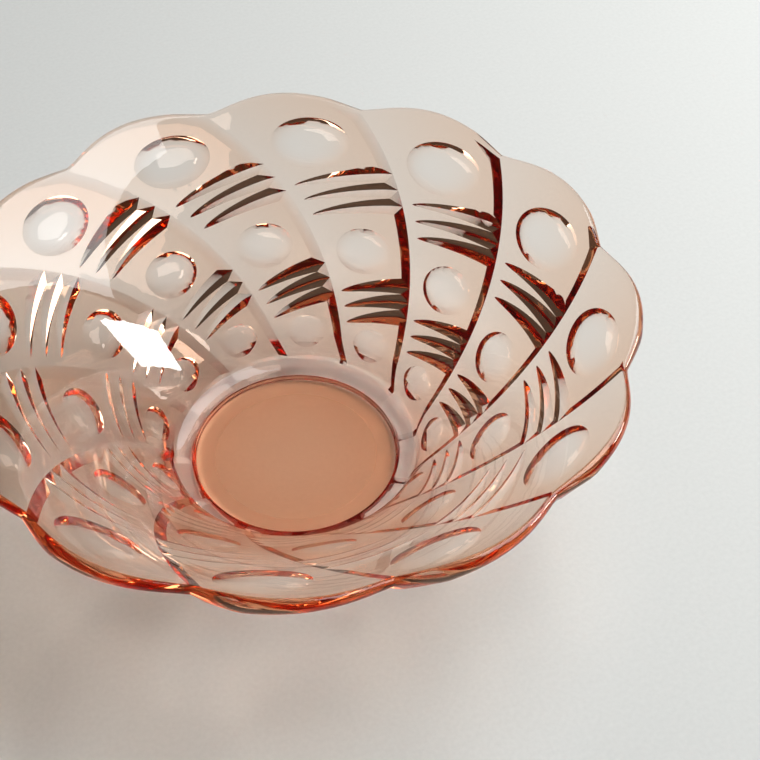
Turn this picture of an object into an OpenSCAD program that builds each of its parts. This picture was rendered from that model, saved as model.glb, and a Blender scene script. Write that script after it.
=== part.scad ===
// Swirled glass bowl, pressed in one piece.
// The origin is the centre of the foot's underside and +Z points up. Lengths are
// in millimetres. Twelve curved panels overlap round the wall like blades: each
// one starts thin, thickens towards its trailing edge, and drops back over a
// slanted step. The inside is smooth and all the cutting is on the outside.

/* [Bowl] */
// Number of swirled panels round the wall
panels = 12; // [8:1:16]
// Radius of the inner rim at the notches between panels
rim_r = 99; // [70:1:140]
// Height of the inner rim at the notches, above the table
rim_h = 68; // [50:1:100]
// How far each panel's lobe rises past the notches, along the radius
lobe_rise = 3.5; // [0:0.5:6]
// Turn of the panels, in degrees for each millimetre of radius
swirl = 0.66; // [0:0.02:0.9]
// Slope of the inner wall just above its steep foot, in degrees
wall_slope = 49.6; // [46:0.1:60]

/* [Base] */
// Thickness of glass under the floor, measured to the table
base_t = 7; // [5:0.5:12]
// Radius of the flat inner floor
floor_r = 34.4; // [25:0.2:45]
// Width of the shallow dished ring round the floor
ring_w = 4.2; // [3:0.2:6]
// Rise of that ring
ring_h = 1.2; // [0.6:0.2:2]
// Radius of the foot that the bowl stands on
foot_r = 33; // [26:1:38]
// Height of the foot's upright side
foot_h = 4; // [3:0.5:5]
// Radius of the shallow hollow under the foot
hollow_r = 27; // [18:1:30]
// Depth of that hollow
hollow_d = 0.8; // [0.4:0.1:2]

/* [Wall] */
// Thickness of a panel at its thin leading edge
thin_t = 2.6; // [2:0.2:5]
// Height of the step between two panels
step_rim = 2.5; // [1.5:0.1:3.5]
// Height of the step where it runs out at the foot
step_foot = 2.1; // [1:0.1:3]
// Share of a panel's width taken by the slanted step at the rim
step_share = 0.099; // [0.06:0.001:0.14]
// Share of a panel's width taken by the step near the foot
step_low = 0.136; // [0.08:0.001:0.18]

/* [Lenses] */
// Place of the large lens, as a share of the way up the wall from foot to rim
large_at = 0.85; // [0.82:0.01:0.88]
// Half the height of the large lens, measured up the wall
large_b = 9; // [5:0.5:11]
// Depth of the large lens
large_d = 2.3; // [0.5:0.1:2.6]
// Place of the middle lens, as a share of the way up the wall
middle_at = 0.413; // [0.38:0.01:0.45]
// Half the height of the middle lens, measured up the wall
middle_b = 7.6; // [4:0.5:9.2]
// Depth of the middle lens
middle_d = 1.9; // [0.5:0.1:2.2]
// Place of the small lens, as a share of the way up the wall
small_at = 0.07; // [0.05:0.01:0.12]
// Half the height of the small lens, measured up the wall
small_b = 5.3; // [3:0.5:6.5]
// Depth of the small lens
small_d = 1.4; // [0.5:0.1:1.8]
// Half the width of every lens, as a share of its panel's width
lens_share = 0.28; // [0.15:0.01:0.34]

/* [Grooves] */
// Number of V grooves in each of the two groups on a panel
grooves = 3; // [1:1:3]
// Place of the upper group's middle, as a share of the way up the wall
upper_at = 0.637; // [0.62:0.001:0.65]
// Spacing of the upper grooves, along the radius
upper_pitch = 3.7; // [2.5:0.1:4.4]
// Place of the lower group's middle, as a share of the way up the wall
lower_at = 0.23; // [0.21:0.01:0.24]
// Spacing of the lower grooves, along the radius
lower_pitch = 3.4; // [2.5:0.1:4.2]
// Rise of every groove across its panel, along the radius
groove_rise = 6.7; // [0:0.1:9]
// Share of the panel's width, from its leading edge, where a groove runs out
groove_start = 0.1; // [0.05:0.01:0.3]

/* [Hidden] */
pitch = 360 / panels;
wall_r = floor_r + ring_w;
wall_h = base_t + ring_h;
// The inner wall is a parabola up to the rim, over a short steep foot of this width
// and rise, in which the swirl hooks on by a further two degrees
steep_w = 3.9;
steep_rise = 7.7;
steep_r = wall_r + steep_w;
steep_h = wall_h + steep_rise;
hook = 2;
slope_0 = tan(wall_slope);
flare = (slope_0 * (rim_r - steep_r) - (rim_h - steep_h)) / pow(rim_r - steep_r, 2);
steep = (steep_rise - slope_0 * steep_w) / pow(steep_w, 2);
// Distance out from the wall's foot in which the step grows to its full height, and
// the shares of the way up the wall between which it narrows
step_reach = 15;
narrow_from = 0.27;
narrow_to = 0.93;
// Columns across one panel: even steps to the trailing edge, then the slanted step
columns = 9;
trail = 0.9;
shares = [for (i = [0 : columns]) i * trail / columns];
// Bevelled corner where a step meets the rim: its width and its reach down the wall
corner_share = 0.217;
corner_drop = 4.65;
// A lobe peaks a little past halfway across its panel; a lens sits a little short of it
lobe_peak = 0.55;
lobe_power = 1.3;
lens_middle = 0.47;
// Distances from the wall's foot and from the rim in which the rows level out
foot_fade = 8;
rim_fade = 10;
// Numbers of rows: the rounded rim, the inside, and the ring round the floor
nose_rows = 5;
inner_rows = 10;
ring_rows = 2;
// How the inside rows crowd towards the wall's foot, and how the ring dishes up
inner_power = 0.8;
dish_power = 1.3;
// How steeply the sides of a lens curve in, and how fast a groove widens
lens_power = 3.5;
groove_power = 0.6;
// Spare depth below the table plane, which is cut off to leave the foot flat
spare = 2;

function mix(a, b, f) = a + (b - a) * f;
function clamp(x) = min(1, max(0, x));
function up_wall(share) = mix(wall_r, rim_r, share);

large_r = up_wall(large_at);
middle_r = up_wall(middle_at);
small_r = up_wall(small_at);
upper_r = up_wall(upper_at);
lower_r = up_wall(lower_at);
upper_half = upper_pitch * grooves / 2;
lower_half = lower_pitch * grooves / 2;

// Radii of the rows halfway across a panel, from the foot to the rim. The V grooves
// have a row on each bottom and each ridge.
function between(a, b, n) = [for (i = [1 : n]) mix(a, b, i / (n + 1))];
function group(c, p) = [for (i = [-grooves : grooves]) c + p * i / 2];
rows = concat(
    [wall_r], between(wall_r, lower_r - lower_half, 4),
    group(lower_r, lower_pitch), between(lower_r + lower_half, upper_r - upper_half, 5),
    group(upper_r, upper_pitch), between(upper_r + upper_half, rim_r, 6), [rim_r]);

// Height and slope of the inner wall at a radius
function bow(r) = r > steep_r ? flare : steep;
function wall_z(r) = steep_h + slope_0 * (r - steep_r) - bow(r) * pow(r - steep_r, 2);
function wall_a(r) = atan(slope_0 - 2 * bow(r) * (r - steep_r));
// A point at a radius and height
function around(r, z, a) = [r * cos(a), r * sin(a), z];
// A point at a depth t into the glass, and a distance e out along the wall
function glass(r, a, t, e = 0) = let (s = wall_a(r))
    around(r + t * sin(s) + e * cos(s), wall_z(r) - t * cos(s) + e * sin(s), a);
// Turn of the panels at radius r, and the angle at share u across panel k. The step's
// columns follow its top edge, so a share of the sheet is first spread over the panel.
function turn(r) = swirl * (r - rim_r) - hook * pow(clamp((steep_r - r) / steep_w), 2);
function edge(r) = 1 - mix(step_low, step_share,
    clamp((r - up_wall(narrow_from)) / (up_wall(narrow_to) - up_wall(narrow_from))));
function spread(u, r) = u < trail ? u * edge(r) / trail : mix(edge(r), 1, (u - trail) / (1 - trail));
function angle(k, u, r) = turn(r) - pitch * (k + spread(u, r));

// How far the panel's edge rises past the notches
function lobe(u) = lobe_rise * pow(sin(
    u < lobe_peak ? 90 * u / lobe_peak : 90 * (1 - u) / (1 - lobe_peak)), lobe_power);
// Radius at share u of the row whose radius halfway across is m: it slants with the
// grooves, runs back down over the step, and takes up the lobe near the rim
function slant(u) = let (lead = shares[1])
    u < lead ? (lead - 0.5) * u / lead : u > trail ? (trail - 0.5) * (1 - u) / (1 - trail) : u - 0.5;
function row_r(u, m) = m
    + groove_rise * slant(u) * clamp((m - wall_r) / foot_fade) * clamp((rim_r - m) / rim_fade)
    + lobe(u) * clamp((m - upper_r - upper_half) / (rim_r - upper_r - upper_half));

// Height of the step at a radius, and the share of it that the panel has climbed
function step_h(r) = mix(step_foot, step_rim, clamp((r - wall_r) / step_reach));
function wedge(u) = u < trail ? u / trail : (1 - u) / (1 - trail);
// Depth of a lens in the middle of its panel, of radius c, half height b and depth d
function lens(u, r, c, b, d) = let (
        x = (spread(u, r) - lens_middle - (turn(r) - turn(c)) / pitch) / lens_share,
        y = (r - c) / cos(wall_a(c)) / b)
    max(0, d * (1 - pow(norm([x, y]), lens_power)));
// Depth of a group of V grooves, y pitches up from the group's middle
function groove_middle(y) = grooves % 2 == 1 ? round(y) : floor(y) + 0.5;
function groove(u, m, c, p) = let (y = (m - c) / p)
    abs(y) > grooves / 2 ? 0 :
    step_h(c) * max(0, 1 - 2 * abs(y - groove_middle(y)))
    * min(wedge(u), pow(clamp((u - groove_start) / (trail - groove_start)), groove_power));
// Thickness of the wall at share u of the row whose radius halfway across is m
function thick(u, m) = let (
        r = row_r(u, m),
        climb = step_h(r) * wedge(u),
        corner = step_rim * ((1 - u) / corner_share + (rim_r + lobe(u) - r) / corner_drop))
    thin_t + min(climb, corner)
    - lens(u, r, large_r, large_b, large_d)
    - lens(u, r, middle_r, middle_b, middle_d)
    - lens(u, r, small_r, small_b, small_d)
    - groove(u, m, upper_r, upper_pitch)
    - groove(u, m, lower_r, lower_pitch);

// Rings of points. Each runs once round the bowl, and they follow the section of the
// glass from the foot up the outside, over the rim and down the inside to the floor.
places = [for (k = [0 : panels - 1]) for (u = shares) [k, u]];
function flat_ring(r, z) = [for (p = places) around(r, z, angle(p[0], p[1], wall_r))];
function outer_ring(m) = [for (p = places) let (r = row_r(p[1], m))
    glass(r, angle(p[0], p[1], r), thick(p[1], m))];
function nose_ring(f) = [for (p = places) let (
        r = row_r(p[1], rim_r),
        h = thick(p[1], rim_r) / 2)
    glass(r, angle(p[0], p[1], r), h + h * cos(f), h * sin(f))];
function inner_ring(share) = [for (p = places) let (
        r = mix(row_r(p[1], rim_r), wall_r, pow(share, inner_power)))
    glass(r, angle(p[0], p[1], r), 0)];
function dish_ring(f) = flat_ring(floor_r + ring_w * f, base_t + ring_h * pow(f, dish_power));

rings = concat(
    [flat_ring(foot_r, -spare), flat_ring(foot_r, foot_h)],
    [for (m = rows) outer_ring(m)],
    [for (i = [1 : nose_rows]) nose_ring(180 * i / (nose_rows + 1))],
    [for (i = [0 : inner_rows]) inner_ring(i / inner_rows)],
    [for (i = [ring_rows - 1 : -1 : 0]) dish_ring(i / ring_rows)]);

// A closed skin through the rings, with a flat face on the first and on the last
module skin(rings) {
    n = len(rings[0]);
    last = (len(rings) - 1) * n;
    points = [for (ring = rings) for (p = ring) p];
    sides = [for (j = [0 : len(rings) - 2]) for (i = [0 : n - 1]) let (a = j * n, b = (i + 1) % n)
        for (face = [[a + i, a + b, a + n + b], [a + i, a + n + b, a + n + i]]) face];
    floor_face = [for (i = [0 : n - 1]) i];
    top_face = [for (i = [n - 1 : -1 : 0]) last + i];
    polyhedron(points, concat(sides, [floor_face], [top_face]), convexity = 10);
}

// The bowl: swirled wall, solid base, upright foot and the shallow hollow under it
module bowl() {
    color([0.93, 0.68, 0.6, 0.75])
    difference() {
        skin(rings);
        translate([0, 0, -2 * spare]) cylinder(r = foot_r + spare, h = 2 * spare, $fn = 96);
        translate([0, 0, -spare]) cylinder(r = hollow_r, h = spare + hollow_d, $fn = 96);
    }
}

bowl();
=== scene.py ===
import math
import bmesh
import bpy
from mathutils import Matrix, Vector


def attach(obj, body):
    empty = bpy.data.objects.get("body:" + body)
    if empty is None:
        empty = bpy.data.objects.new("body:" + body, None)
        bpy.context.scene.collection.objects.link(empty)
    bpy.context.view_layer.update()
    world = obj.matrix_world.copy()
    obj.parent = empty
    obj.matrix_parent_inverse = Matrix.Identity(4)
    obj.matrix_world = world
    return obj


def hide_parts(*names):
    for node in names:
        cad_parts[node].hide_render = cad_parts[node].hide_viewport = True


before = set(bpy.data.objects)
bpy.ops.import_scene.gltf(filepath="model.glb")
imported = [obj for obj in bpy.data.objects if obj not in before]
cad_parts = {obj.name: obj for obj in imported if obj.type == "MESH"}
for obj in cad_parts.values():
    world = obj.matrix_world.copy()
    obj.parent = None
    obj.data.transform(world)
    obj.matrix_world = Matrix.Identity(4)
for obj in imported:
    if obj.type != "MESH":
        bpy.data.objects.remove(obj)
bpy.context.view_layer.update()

# ---- Bowl ----
# The bowl is one pressing of soda-lime glass, tinted pink all through. A plunger leaves the
# inside smooth, and the mould cuts twelve swirled panels round the outside, each with three
# hollow lenses and two groups of V grooves. Flames then soften every edge a little.

# Sizes of the bowl, in millimetres and degrees. They follow the part.
PANELS = 12
PITCH = 360 / PANELS
SWIRL = 0.66
RIM_R, RIM_H = 99.0, 68.0
LOBE_RISE, LOBE_PEAK, LOBE_POWER = 3.5, 0.55, 1.3
FLOOR_R, BASE_T = 34.4, 7.0
DISH_W, DISH_H, DISH_POWER = 4.2, 1.2, 1.3
FOOT_R, FOOT_H = 33.0, 4.0
HOLLOW_R, HOLLOW_D = 27.0, 0.8
THIN_T, STEP_RIM, STEP_FOOT = 2.6, 2.5, 2.1
# Share of the flat sheet at which the step begins
TRAIL = 0.9
# The step grows to full height this far out from the wall's foot, and takes up less of the
# panel from the first radius on, over the second distance
STEP_REACH = 15.0
STEP_LOW, STEP_SHARE = 0.136, 0.099
NARROW_FROM, NARROW_OVER = 55.0, 40.0
# The bevelled corner where a step meets the rim: its width and its reach down the wall
CORNER_SHARE, CORNER_DROP = 0.217, 4.65
WALL_R, WALL_H = FLOOR_R + DISH_W, BASE_T + DISH_H
# The inner wall is a parabola, which drops away more steeply below the fillet's radius
FILLET_R, FILLET_H = 42.5, 8.9 + BASE_T
SLOPE_0 = math.tan(math.radians(49.6))
FLARE = (SLOPE_0 * (RIM_R - FILLET_R) - (RIM_H - FILLET_H)) / (RIM_R - FILLET_R) ** 2
FILLET = (FILLET_H - WALL_H - SLOPE_0 * (FILLET_R - WALL_R)) / (FILLET_R - WALL_R) ** 2
# The swirl hooks on by this much further below that radius
HOOK = 2.0
# Each lens: radius of its middle, half its height up the wall, and its depth
LENSES = ((89.9, 9.0, 2.35), (63.5, 7.6, 1.95), (43.2, 5.3, 1.4))
LENS_MIDDLE, LENS_SHARE, LENS_POWER = 0.47, 0.28, 3.5
# Each group of grooves: radius of its middle groove halfway across, and their spacing
GROUPS = ((77.1, 3.7), (52.5, 3.35))
# A group reaches this many spacings each way, and climbs along the radius across its panel
GROOVES_HALF = 1.5
GROOVE_RISE, GROOVE_START, GROOVE_POWER = 6.7, 0.1, 0.6
# The rows start to follow the lobes of the rim at this radius
LOBE_FROM = 83.0

# The flat sheet that is bent into one panel: share of the panel across, section along.
# It is drawn 50 mm wide, and its rows run up the outside, over the rim and down the inside.
SHEET_W = 50.0
COLUMNS, STEP_COLUMNS = 24, 4
OUT_ROWS, NOSE_ROWS, IN_ROWS, DISH_ROWS = 56, 16, 36, 8
NOSE_END = RIM_R + NOSE_ROWS
IN_END = NOSE_END + IN_ROWS


def mix(a, b, f):
    return a + (b - a) * f


def clamp(x):
    return min(1.0, max(0.0, x))


def wall_z(r):
    """Height of the inner wall at a radius"""
    bend_by = FLARE if r > FILLET_R else FILLET
    return FILLET_H + SLOPE_0 * (r - FILLET_R) - bend_by * (r - FILLET_R) ** 2


def wall_slope(r):
    """Slope of the inner wall at a radius, in radians"""
    bend_by = FLARE if r > FILLET_R else FILLET
    return math.atan(SLOPE_0 - 2 * bend_by * (r - FILLET_R))


def swirl(r):
    """Turn of the panels at a radius, in degrees"""
    return SWIRL * (r - RIM_R) - HOOK * clamp((FILLET_R - r) / (FILLET_R - WALL_R)) ** 2


def trail(r):
    """Share of the panel at which its step begins"""
    return 1 - mix(STEP_LOW, STEP_SHARE, clamp((r - NARROW_FROM) / NARROW_OVER))


def lobe(u):
    """How far the rim rises past the notches, at share u across a panel"""
    turn = u / LOBE_PEAK if u < LOBE_PEAK else (1 - u) / (1 - LOBE_PEAK)
    return LOBE_RISE * max(0.0, math.sin(math.pi / 2 * turn)) ** LOBE_POWER


def step_height(r):
    """Height of the step at a radius"""
    return mix(STEP_FOOT, STEP_RIM, clamp((r - WALL_R) / STEP_REACH))


def lens_place(u, r, middle, half):
    """How far a point is from a lens's middle, as shares of its half width and half height"""
    turn = math.radians(PITCH * (u - LENS_MIDDLE) - swirl(r) + swirl(middle))
    return (turn / math.radians(PITCH * LENS_SHARE),
            (r - middle) / math.cos(wall_slope(middle)) / half)


def thickness(u, r):
    """Thickness of the wall at share u across a panel, at radius r"""
    edge = trail(r)
    wedge = u / edge if u < edge else (1 - u) / (1 - edge)
    even = wedge * TRAIL if u < edge else 1 - wedge * (1 - TRAIL)
    climb = step_height(r) * wedge
    corner = STEP_RIM * ((1 - u) / CORNER_SHARE + (RIM_R + lobe(u) - r) / CORNER_DROP)
    panel = THIN_T + min(climb, corner)
    for middle, half, depth in LENSES:
        away = math.hypot(*lens_place(u, r, middle, half))
        panel -= max(0.0, depth * (1 - away ** LENS_POWER))
    for middle, gap in GROUPS:
        off = (r - middle - GROOVE_RISE * (even - 0.5)) / gap
        if abs(off) < GROOVES_HALF:
            deep = step_height(middle)
            off = abs(off - round(off))
            if u < edge:
                run = clamp((even - GROOVE_START) / (TRAIL - GROOVE_START)) ** GROOVE_POWER
                panel -= deep * max(0.0, run - 2 * off)
            else:
                panel = min(panel, THIN_T + deep * 2 * off)
    return panel


def share(x, r):
    """Share across the panel of a place on the sheet: the step's columns follow its edge"""
    x /= SHEET_W
    edge = trail(r)
    return x / TRAIL * edge if x < TRAIL else mix(edge, 1, (x - TRAIL) / (1 - TRAIL))


def bend(x, y):
    """Place of a point of the flat sheet on the bowl, in metres"""
    if y <= RIM_R:
        u = share(x, y)
    elif y <= NOSE_END:
        u = share(x, RIM_R)
    elif y <= IN_END:
        u = share(x, mix(RIM_R, WALL_R, (y - NOSE_END) / IN_ROWS))
    else:
        u = share(x, WALL_R)
    rim = RIM_R + lobe(u)
    down, out = 0.0, 0.0
    if y <= RIM_R:
        r = y + lobe(u) * clamp((y - LOBE_FROM) / (RIM_R - LOBE_FROM))
        down = thickness(u, r)
    elif y <= NOSE_END:
        r = rim
        half = thickness(u, r) / 2
        turn = math.pi * (y - RIM_R) / NOSE_ROWS
        down, out = half + half * math.cos(turn), half * math.sin(turn)
    elif y <= IN_END:
        r = mix(rim, WALL_R, (y - NOSE_END) / IN_ROWS)
    else:
        left = 1 - (y - IN_END) / DISH_ROWS
        r = WALL_R
        flat = (FLOOR_R + DISH_W * left, BASE_T + DISH_H * left ** DISH_POWER)
    angle = math.radians(swirl(r) - PITCH * u)
    slope = wall_slope(r)
    radius = r + down * math.sin(slope) + out * math.cos(slope)
    height = wall_z(r) - down * math.cos(slope) + out * math.sin(slope)
    if y > IN_END:
        radius, height = flat
    return Vector((radius * math.cos(angle), radius * math.sin(angle), height)) / 1000


def edit(thing):
    """Open one object alone in edit mode, with nothing in it selected"""
    bpy.ops.object.select_all(action="DESELECT")
    bpy.context.view_layer.objects.active = thing
    thing.select_set(True)
    bpy.ops.object.mode_set(mode="EDIT")
    bpy.ops.mesh.select_all(action="DESELECT")


def pick(kind, test):
    """Select the faces or verts whose middle passes the test, and nothing else"""
    bpy.ops.mesh.select_mode(type={"faces": "FACE", "verts": "VERT"}[kind])
    bpy.ops.mesh.select_all(action="DESELECT")
    mesh = bmesh.from_edit_mesh(bpy.context.object.data)
    for item in getattr(mesh, kind):
        if test(item.co if kind == "verts" else item.calc_center_median()):
            item.select_set(True)
    mesh.select_flush_mode()
    bmesh.update_edit_mesh(bpy.context.object.data)


def score(start, end, near):
    """Cut the faces that pass the test along the line through two points of the sheet"""
    pick("faces", near)
    line = (Vector(end) - Vector(start)).normalized()
    bpy.ops.mesh.bisect(plane_co=(*start, 0), plane_no=(line.y, -line.x, 0), threshold=1e-4)


# The sheet starts as a grid of even squares, and its rows and columns are then spaced out
rows = OUT_ROWS + NOSE_ROWS + IN_ROWS + DISH_ROWS
bpy.ops.object.select_all(action="DESELECT")
bpy.ops.mesh.primitive_grid_add(
    x_subdivisions=COLUMNS + STEP_COLUMNS, y_subdivisions=rows, size=2, location=(0, 0, 0))
bowl = bpy.context.object
bowl.name = bowl.data.name = "pressed_bowl"
for vert in bowl.data.vertices:
    column = round((vert.co.x + 1) / 2 * (COLUMNS + STEP_COLUMNS))
    row = round((vert.co.y + 1) / 2 * rows)
    if column <= COLUMNS:
        u = TRAIL * column / COLUMNS
    else:
        u = TRAIL + (1 - TRAIL) * (column - COLUMNS) / STEP_COLUMNS
    y = mix(WALL_R, RIM_R, row / OUT_ROWS) if row <= OUT_ROWS else RIM_R + row - OUT_ROWS
    vert.co = (u * SHEET_W, y, 0)

# Score lines for the grooves: the bottom of each, its two upper edges, and where it leaves
# through the step. The first column is cut level with each end so that copies join. Only
# faces near a line are cut, and the rest of the sheet keeps its even squares.
edit(bowl)
for middle, gap in GROUPS:
    for number in (-1, 0, 1):
        low = middle + gap * number

        def at(u, off=0.0):
            return (u * SHEET_W, low + GROOVE_RISE * (u - 0.5) + off)

        def beside(place, u_from, u_to, reach=gap * 0.75):
            u = place.x / SHEET_W
            line = low + GROOVE_RISE * (u - 0.5)
            return u_from < u < u_to and abs(place.y - line) < reach

        score(at(0.5), at(1), lambda p: beside(p, GROOVE_START - 0.03, 1))
        for side in (-gap / 2, gap / 2):
            score(at(TRAIL, side), at(1), lambda p: beside(p, TRAIL, 1))
        level = at(1)[1]
        score((0, level), (SHEET_W, level), lambda p: p.x < 1.5 and abs(p.y - level) < 2)

# Score lines for the bevelled corner of the step at the rim
corner_u = TRAIL / (TRAIL + CORNER_SHARE)
corner_y = RIM_R - CORNER_DROP * (1 - (1 - TRAIL) / CORNER_SHARE)


def near_rim(place):
    return corner_y - 1 < place.y < RIM_R


score((corner_u * SHEET_W, RIM_R), (TRAIL * SHEET_W, corner_y),
      lambda p: (corner_u - 0.02) * SHEET_W < p.x < TRAIL * SHEET_W and near_rim(p))
score((TRAIL * SHEET_W, corner_y), (SHEET_W, RIM_R),
      lambda p: TRAIL * SHEET_W < p.x and near_rim(p))


def press_outline(outline):
    """Cut the sheet along a closed outline: a tube with that section is pushed through it"""
    bpy.ops.mesh.select_all(action="DESELECT")
    bpy.ops.mesh.primitive_cylinder_add(
        vertices=len(outline), radius=1, depth=4, end_fill_type="NOTHING", location=(0, 0, 0))
    mesh = bmesh.from_edit_mesh(bowl.data)
    for vert in mesh.verts:
        if vert.select:
            turn = math.atan2(vert.co.x, vert.co.y) / (2 * math.pi)
            vert.co.xy = outline[round(turn * len(outline)) % len(outline)]
    bmesh.update_edit_mesh(bowl.data)
    bpy.ops.mesh.intersect(mode="SELECT_UNSELECT", separate_mode="NONE", solver="EXACT")
    pick("verts", lambda p: abs(p.z) > 1)
    bpy.ops.mesh.delete(type="VERT")


# Groove outlines: a leaf from a tip near the panel's thin edge to full width at the step,
# with its points closest together at the tip
LEAF_STEPS, TIP_POWER = 14, 1.5
for middle, gap in GROUPS:
    for number in (-1, 0, 1):
        low = middle + gap * number
        runs = [(i / LEAF_STEPS) ** TIP_POWER for i in range(LEAF_STEPS + 1)]
        half = [(mix(GROOVE_START, TRAIL, run),
                 gap / 2 * run ** GROOVE_POWER) for run in runs]
        leaf = half + [(u, -wide) for u, wide in half[:0:-1]]
        press_outline([(u * SHEET_W, low + GROOVE_RISE * (u - 0.5) + wide) for u, wide in leaf])

# Lens outlines: a tube with an oval section is pushed through the sheet and cuts it
LENS_POINTS = 72
for middle, half, depth in LENSES:
    outline = []
    for number in range(LENS_POINTS):
        turn = 2 * math.pi * number / LENS_POINTS
        r = middle + half * math.cos(wall_slope(middle)) * math.cos(turn)
        u = LENS_MIDDLE + LENS_SHARE * math.sin(turn) + (swirl(r) - swirl(middle)) / PITCH
        y = r
        if r > LOBE_FROM:
            stretch = lobe(u) / (RIM_R - LOBE_FROM)
            y = (r + stretch * LOBE_FROM) / (1 + stretch)
        outline.append((u * TRAIL / trail(y) * SHEET_W, y))
    press_outline(outline)
# Points closer than this, in millimetres, are one
MERGE = 0.02
bpy.ops.mesh.select_all(action="SELECT")
bpy.ops.mesh.remove_doubles(threshold=MERGE)
bpy.ops.mesh.delete_loose()
bpy.ops.object.mode_set(mode="OBJECT")

# The sheet is bent into one panel
for vert in bowl.data.vertices:
    vert.co = bend(vert.co.x, vert.co.y)

# Eleven copies, each turned by one more pitch, join it into a ring
panels = [bowl]
for number in range(1, PANELS):
    copy = bowl.copy()
    copy.data = bowl.data.copy()
    copy.data.transform(Matrix.Rotation(math.radians(-PITCH * number), 4, "Z"))
    bpy.context.collection.objects.link(copy)
    panels.append(copy)
bpy.ops.object.select_all(action="DESELECT")
for panel in panels:
    panel.select_set(True)
bpy.context.view_layer.objects.active = bowl
bpy.ops.object.join()
edit(bowl)
bpy.ops.mesh.select_all(action="SELECT")
bpy.ops.mesh.remove_doubles(threshold=MERGE / 1000)


def ring_out(low, high, steps):
    """Draw the open edge between two radii inwards or down through (radius, height) steps"""
    bpy.ops.mesh.select_mode(type="EDGE")
    bpy.ops.mesh.select_all(action="DESELECT")
    mesh = bmesh.from_edit_mesh(bowl.data)
    for edge in mesh.edges:
        if edge.is_boundary and all(low < v.co.xy.length * 1000 < high for v in edge.verts):
            edge.select_set(True)
    bmesh.update_edit_mesh(bowl.data)
    for radius, height in steps:
        bpy.ops.mesh.extrude_region_move()
        mesh = bmesh.from_edit_mesh(bowl.data)
        for vert in mesh.verts:
            if vert.select:
                flat = vert.co.xy.normalized() * radius / 1000
                vert.co = (flat.x, flat.y, height / 1000)
        bmesh.update_edit_mesh(bowl.data)
    bpy.ops.mesh.edge_face_add()


# The flat floor closes the inside. The underside is closed by the foot, with its rounded
# edges, and by the shallow dome of the hollow, each as (radius, height) steps
ring_out(0, WALL_R, [(FLOOR_R - 0.8, BASE_T), (FLOOR_R - 4, BASE_T)])
EDGE_ROUND, EDGE_STEPS, DOME_STEPS = 0.6, 4, 10
foot = [(FOOT_R + 1, FOOT_H + 0.5), (FOOT_R + 0.2, FOOT_H), (FOOT_R, FOOT_H - 0.7)]
for number in range(EDGE_STEPS + 1):
    turn = math.pi / 2 * number / EDGE_STEPS
    foot.append((FOOT_R - EDGE_ROUND * (1 - math.cos(turn)), EDGE_ROUND * (1 - math.sin(turn))))
for number in range(DOME_STEPS):
    out = 1 - number / DOME_STEPS
    foot.append((HOLLOW_R * out, HOLLOW_D * (1 - out ** 2)))
ring_out(WALL_R, RIM_R, foot)
bpy.ops.mesh.select_all(action="SELECT")
bpy.ops.mesh.normals_make_consistent(inside=False)
bpy.ops.object.mode_set(mode="OBJECT")
# Creases sharper than this stay crisp: the cut edges do, and the curves between don't
CRISP = math.radians(12.5)
bpy.ops.object.shade_smooth_by_angle(angle=CRISP)


def linear(code):
    """sRGB hex as linear colour values"""
    parts = [int(code[i:i + 2], 16) / 255 for i in (0, 2, 4)]
    return tuple(c / 12.92 if c <= 0.04045 else ((c + 0.055) / 1.055) ** 2.4 for c in parts) + (1,)


def node(tree, kind, settings=(), **links):
    """Add a node, set its inputs and properties, and link what feeds it"""
    made = tree.nodes.new(kind)
    for name, value in dict(settings).items():
        if name in made.inputs:
            made.inputs[name].default_value = value
        else:
            setattr(made, name, value)
    for name, socket in links.items():
        tree.links.new(socket, made.inputs[name])
    return made


# Pink soda-lime glass, pressed and fire-polished: clear and glossy, and coloured by its depth,
# so thin walls look pale and long paths along the wall turn brown
glass = bpy.data.materials.new("pink_pressed_glass")
glass.use_nodes = True
tree = glass.node_tree
tree.nodes.clear()
place = node(tree, "ShaderNodeTexCoord")
# The mould's faint ripples, about 14 mm from crest to crest and a few hundredths deep
ripple = node(tree, "ShaderNodeTexNoise", {"Scale": 1 / 0.014, "Detail": 2.0},
              Vector=place.outputs["Object"])
relief = node(tree, "ShaderNodeBump", {"Strength": 1.0, "Distance": 0.00005},
              Height=ripple.outputs["Fac"])
# Handling leaves dull patches about 30 mm across, and the foot is worn where it stands
haze = node(tree, "ShaderNodeTexNoise", {"Scale": 1 / 0.03, "Detail": 4.0},
            Vector=place.outputs["Object"])
dull = node(tree, "ShaderNodeMapRange", {"From Min": 0.55, "From Max": 0.75, "To Max": 0.04},
            Value=haze.outputs["Fac"])
height = node(tree, "ShaderNodeSeparateXYZ", Vector=place.outputs["Object"])
worn = node(tree, "ShaderNodeMapRange", {
    "From Min": 0.00002, "From Max": 0.00008, "To Min": 0.3, "To Max": 0.0},
    Value=height.outputs["Z"])
finish = node(tree, "ShaderNodeMath", {"operation": "MAXIMUM"})
tree.links.new(dull.outputs["Result"], finish.inputs[0])
tree.links.new(worn.outputs["Result"], finish.inputs[1])
surface = node(tree, "ShaderNodeBsdfPrincipled", {
    "Base Color": (1, 1, 1, 1), "IOR": 1.52, "Transmission Weight": 1.0},
    Roughness=finish.outputs[0], Normal=relief.outputs["Normal"])
depth = node(tree, "ShaderNodeVolumeAbsorption", {"Color": (0.927, 0.5, 0.177, 1), "Density": 112})
node(tree, "ShaderNodeOutputMaterial", Surface=surface.outputs[0], Volume=depth.outputs[0])
bowl.data.materials.clear()
bowl.data.materials.append(glass)
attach(bowl, "root")
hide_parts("bowl")

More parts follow.
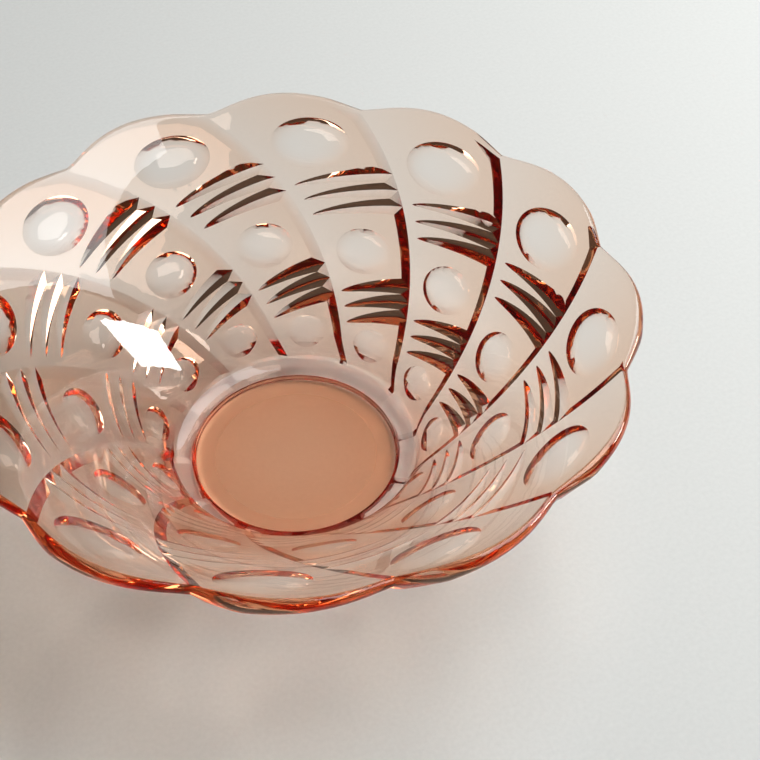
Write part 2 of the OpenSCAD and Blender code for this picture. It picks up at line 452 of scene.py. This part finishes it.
# ---- Table and backdrop ----
# A plain pale sheet of matt paper, large enough to be table and backdrop in one. It lies a
# hair below the foot, so that the two faces don't coincide.
TABLE_SIZE, TABLE_Z = 6, -0.0003
bpy.ops.object.select_all(action="DESELECT")
bpy.ops.mesh.primitive_plane_add(size=TABLE_SIZE, location=(0, 0, TABLE_Z))
table = bpy.context.object
table.name = "pale_table"
paper = bpy.data.materials.new("matt_white_table")
paper.use_nodes = True
sheet = paper.node_tree
sheet.nodes.clear()
ground = node(sheet, "ShaderNodeTexCoord")
# Paper fibres, drawn 1.5 mm long so that they show
fibre = node(sheet, "ShaderNodeTexNoise", {"Scale": 1 / 0.0015, "Detail": 3.0},
             Vector=ground.outputs["Object"])
tone = node(sheet, "ShaderNodeMix", {"data_type": "RGBA"}, Factor=fibre.outputs["Fac"])
tone.inputs[6].default_value = linear("E0E0DD")
tone.inputs[7].default_value = linear("ECECE9")
tooth = node(sheet, "ShaderNodeBump", {"Strength": 0.3, "Distance": 0.00005},
             Height=fibre.outputs["Fac"])
matt = node(sheet, "ShaderNodeBsdfPrincipled", {"Roughness": 0.9}, Normal=tooth.outputs["Normal"])
sheet.links.new(tone.outputs[2], matt.inputs["Base Color"])
node(sheet, "ShaderNodeOutputMaterial", Surface=matt.outputs[0])
table.data.materials.append(paper)

# ---- Light and camera ----
# Plain studio light: a large soft key stands high at the right, and a small window lower
# down shows in the wall. All of it is turned with the camera, round the bowl's axis.
TURN = math.radians(-18.2)


def aim(thing, azimuth, elevation, distance, target=(0, 0, 0.03)):
    """Stand a light on a direction from the bowl, facing it"""
    a, e = math.radians(azimuth) + TURN, math.radians(elevation)
    out = Vector((math.cos(e) * math.cos(a), math.cos(e) * math.sin(a), math.sin(e)))
    thing.location = Vector(target) + out * distance
    thing.rotation_euler = out.to_track_quat("Z", "Y").to_euler()


def lamp(name, width, height, watts, azimuth, elevation, distance):
    """A flat rectangular light, standing on a direction from the bowl"""
    bpy.ops.object.light_add(type="AREA")
    made = bpy.context.object
    made.name = name
    made.data.shape = "RECTANGLE"
    made.data.size, made.data.size_y = width, height
    made.data.energy = watts
    made.data.color = (0.96, 0.99, 1)
    aim(made, azimuth, elevation, distance)


lamp("soft_key", 1.0, 1.0, 15, 35, 56, 1.3)
lamp("window", 0.34, 0.2, 5, 12, 23, 1.1)

# A dim warm room
world = bpy.data.worlds.new("room")
bpy.context.scene.world = world
world.use_nodes = True
world.node_tree.nodes["Background"].inputs["Color"].default_value = (1, 0.9, 0.8, 1)
world.node_tree.nodes["Background"].inputs["Strength"].default_value = 0.08

# The camera looks down into the bowl, to one side of its axis
STAND = (0.0274, -0.3243, 0.3960)
TILT, ROLL = math.radians(42.3), math.radians(0.31)
camera = bpy.data.cameras.new("camera")
camera.lens = 73.42
camera.sensor_width = 36
camera.clip_start = 0.01
viewpoint = bpy.data.objects.new("camera", camera)
bpy.context.collection.objects.link(viewpoint)
viewpoint.matrix_world = (
    Matrix.Rotation(TURN, 4, "Z")
    @ Matrix.Translation(STAND)
    @ Matrix.Rotation(TILT, 4, "X")
    @ Matrix.Rotation(ROLL, 4, "Z"))
scene = bpy.context.scene
scene.camera = viewpoint
scene.view_settings.view_transform = "Standard"
# Light has to cross many faces of the glass, and to stay sharp so that the table under the
# bowl is fully lit
scene.cycles.max_bounces = 40
scene.cycles.transmission_bounces = 40
scene.cycles.glossy_bounces = 24
scene.cycles.diffuse_bounces = 8
scene.cycles.blur_glossy = 0.0
